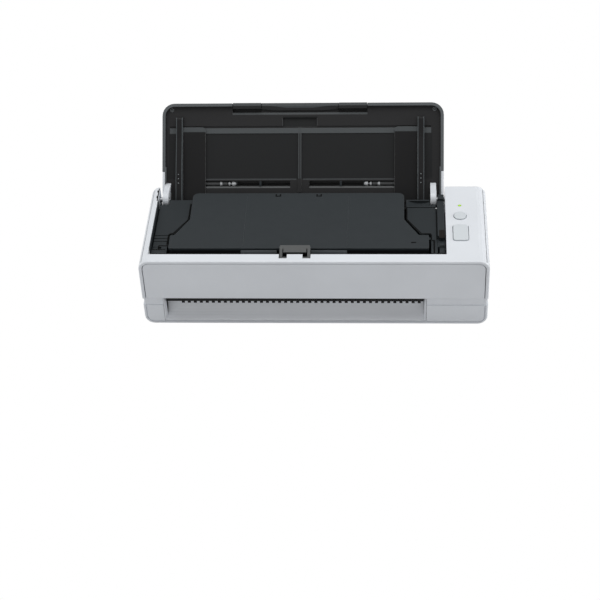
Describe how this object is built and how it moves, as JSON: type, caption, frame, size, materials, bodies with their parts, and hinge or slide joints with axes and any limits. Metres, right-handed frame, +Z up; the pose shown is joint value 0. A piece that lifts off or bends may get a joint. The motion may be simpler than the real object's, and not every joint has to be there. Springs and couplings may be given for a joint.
{
  "type": "travel document scanner",
  "caption": "Compact desktop sheet-fed scanner with a leaning paper chute, sliding side guides and extension, hinged inner cover, U-shaped paper path and a front slot for booklets.",
  "frame": {"origin": "bottom centre of the whole box with the chute open, under the feet", "axes": "+X to the operator's right, +Y to the back, +Z up"},
  "size_m": [0.296, 0.1674, 0.1235],
  "materials": {
    "white_plastic": "fine matte texture",
    "black_plastic": "satin moulded",
    "dark_plastic": "fine matte texture",
    "bracket_grey_plastic": "satin moulded",
    "roller_grey_plastic": "satin moulded",
    "button_plastic": "satin moulded",
    "status_lens_plastic": "clear and glossy",
    "gear_plastic": "satin moulded",
    "circuit_board": "lacquered",
    "sensor_glass": "polished",
    "roller_rubber": "matte",
    "steel": "brushed"
  },
  "bodies": {
    "base": {"top_housing": "white_plastic", "front_panel": "white_plastic", "lower_housing": "white_plastic", "bottom_plate": "black_plastic", "rear_cover": "white_plastic", "slot_comb": "black_plastic", "return_ramp": "white_plastic", "foot_front_left": "roller_rubber", "foot_rear_left": "roller_rubber", "foot_front_right": "roller_rubber", "foot_rear_right": "roller_rubber", "frame_left": "black_plastic", "frame_right": "black_plastic", "path_floor": "black_plastic", "front_path_guide": "black_plastic", "rear_path_guide": "black_plastic", "lower_sensor": "black_plastic", "lower_glass": "sensor_glass", "drive_belt": "roller_rubber", "motor_bracket": "steel", "drive_motor": "steel", "wing_left": "dark_plastic", "wing_right": "dark_plastic", "chute_pin_left": "steel", "chute_pin_right": "steel", "status_lens": "status_lens_plastic", "panel_board": "circuit_board", "power_jack": "black_plastic", "usb_port": "steel", "main_board": "circuit_board"},
    "chute": {"chute_shell": "white_plastic", "chute_liner": "black_plastic"},
    "extension_outer_body": {"extension_outer": "black_plastic"},
    "extension_inner_body": {"extension_inner": "black_plastic"},
    "guide_left_body": {"guide_left": "black_plastic"},
    "guide_right_body": {"guide_right": "black_plastic"},
    "guide_pinion_body": {"guide_pinion": "gear_plastic"},
    "chute_roller_body": {"chute_roller": "roller_grey_plastic"},
    "cover": {"inner_cover": "dark_plastic", "inner_guide": "black_plastic", "upper_sensor": "black_plastic", "upper_glass": "sensor_glass"},
    "feed_idler_body": {"feed_idler": "roller_grey_plastic"},
    "exit_idler_body": {"exit_idler": "roller_grey_plastic"},
    "brake_roller_body": {"brake_roller": "roller_rubber"},
    "feed": {"feed_shaft": "steel", "feed_tyre_left": "roller_rubber", "feed_tyre_right": "roller_rubber", "feed_gear": "gear_plastic"},
    "pick": {"pick_shaft": "steel", "pick_tyre": "roller_rubber", "pick_gear": "gear_plastic"},
    "exit_roller_body": {"exit_roller": "roller_rubber"},
    "idler_gear_body": {"idler_gear": "gear_plastic"},
    "motor_pinion_body": {"motor_pinion": "gear_plastic"},
    "exit_guide_body": {"exit_guide": "bracket_grey_plastic"},
    "path_flap_body": {"path_flap": "black_plastic"},
    "power_button_body": {"power_button": "button_plastic"},
    "scan_button_body": {"scan_button": "button_plastic"}
  },
  "joints": [
    {"name": "chute_hinge", "type": "hinge", "parent": "base", "child": "chute", "pos_m": [0, 0.01378, 0.064], "axis": [-1, 0, 0], "range_deg": [-131, 0]},
    {"name": "extension_outer_slide", "type": "slide", "parent": "chute", "child": "extension_outer_body", "axis": [0, 0.6561, 0.7547], "range_m": [0, 0.032]},
    {"name": "extension_inner_slide", "type": "slide", "parent": "extension_outer_body", "child": "extension_inner_body", "axis": [0, 0.6561, 0.7547], "range_m": [0, 0.032]},
    {"name": "guide_left_slide", "type": "slide", "parent": "chute", "child": "guide_left_body", "axis": [1, 0, 0], "range_m": [0, 0.066]},
    {"name": "guide_right_slide", "type": "slide", "parent": "chute", "child": "guide_right_body", "axis": [-1, 0, 0], "range_m": [0, 0.066]},
    {"name": "guide_pinion_turn", "type": "hinge", "parent": "chute", "child": "guide_pinion_body", "pos_m": [-0.0166, 0.01431, 0.0646], "axis": [0, -0.7547, 0.6561], "range_deg": [-950, 0]},
    {"name": "chute_roller_turn", "type": "hinge", "parent": "chute", "child": "chute_roller_body", "pos_m": [-0.0166, 0.03485, 0.06583], "axis": [1, 0, 0], "continuous": true},
    {"name": "inner_cover_hinge", "type": "hinge", "parent": "base", "child": "cover", "pos_m": [-0.0155, 0.00428, 0.06], "axis": [-1, 0, 0], "range_deg": [0, 52]},
    {"name": "feed_idler_turn", "type": "hinge", "parent": "cover", "child": "feed_idler_body", "pos_m": [-0.0155, -0.01922, 0.0305], "axis": [1, 0, 0], "continuous": true},
    {"name": "exit_idler_turn", "type": "hinge", "parent": "cover", "child": "exit_idler_body", "pos_m": [-0.0155, -0.06042, 0.056], "axis": [1, 0, 0], "continuous": true},
    {"name": "brake_roller_turn", "type": "hinge", "parent": "cover", "child": "brake_roller_body", "pos_m": [-0.0155, -0.00072, 0.03391], "axis": [1, 0, 0], "continuous": true},
    {"name": "feed_turn", "type": "hinge", "parent": "base", "child": "feed", "pos_m": [-0.0155, -0.01922, 0.018], "axis": [1, 0, 0], "continuous": true},
    {"name": "pick_turn", "type": "hinge", "parent": "base", "child": "pick", "pos_m": [-0.0155, 0.01128, 0.03391], "axis": [1, 0, 0], "continuous": true},
    {"name": "exit_roller_turn", "type": "hinge", "parent": "base", "child": "exit_roller_body", "pos_m": [-0.0155, -0.07042, 0.056], "axis": [1, 0, 0], "continuous": true},
    {"name": "idler_gear_turn", "type": "hinge", "parent": "base", "child": "idler_gear_body", "pos_m": [0.1059, -0.00352, 0.02619], "axis": [1, 0, 0], "continuous": true},
    {"name": "motor_pinion_turn", "type": "hinge", "parent": "base", "child": "motor_pinion_body", "pos_m": [0.1059, -0.02373, 0.0304], "axis": [1, 0, 0], "continuous": true},
    {"name": "exit_guide_hinge", "type": "hinge", "parent": "base", "child": "exit_guide_body", "pos_m": [-0.0155, -0.07622, 0.0698], "axis": [1, 0, 0], "range_deg": [0, 50]},
    {"name": "path_flap_hinge", "type": "hinge", "parent": "base", "child": "path_flap_body", "pos_m": [-0.0155, -0.06122, 0.022], "axis": [-1, 0, 0], "range_deg": [0, 55]},
    {"name": "power_button_press", "type": "slide", "parent": "base", "child": "power_button_body", "axis": [0, 0, -1], "range_m": [0, 0.0012], "stiffness_N_per_m": 400},
    {"name": "scan_button_press", "type": "slide", "parent": "base", "child": "scan_button_body", "axis": [0, 0, -1], "range_m": [0, 0.0012], "stiffness_N_per_m": 400}
  ],
  "couplings": [
    {"joint": "guide_right_slide", "follows": "guide_left_slide", "ratio": 1},
    {"joint": "guide_pinion_turn", "follows": "guide_left_slide", "rad_per_m": -250},
    {"joint": "pick_turn", "follows": "feed_turn", "ratio": 1.1667},
    {"joint": "exit_roller_turn", "follows": "feed_turn", "ratio": 1.5556},
    {"joint": "idler_gear_turn", "follows": "feed_turn", "ratio": -0.66667},
    {"joint": "motor_pinion_turn", "follows": "feed_turn", "ratio": -1.1667}
  ]
}
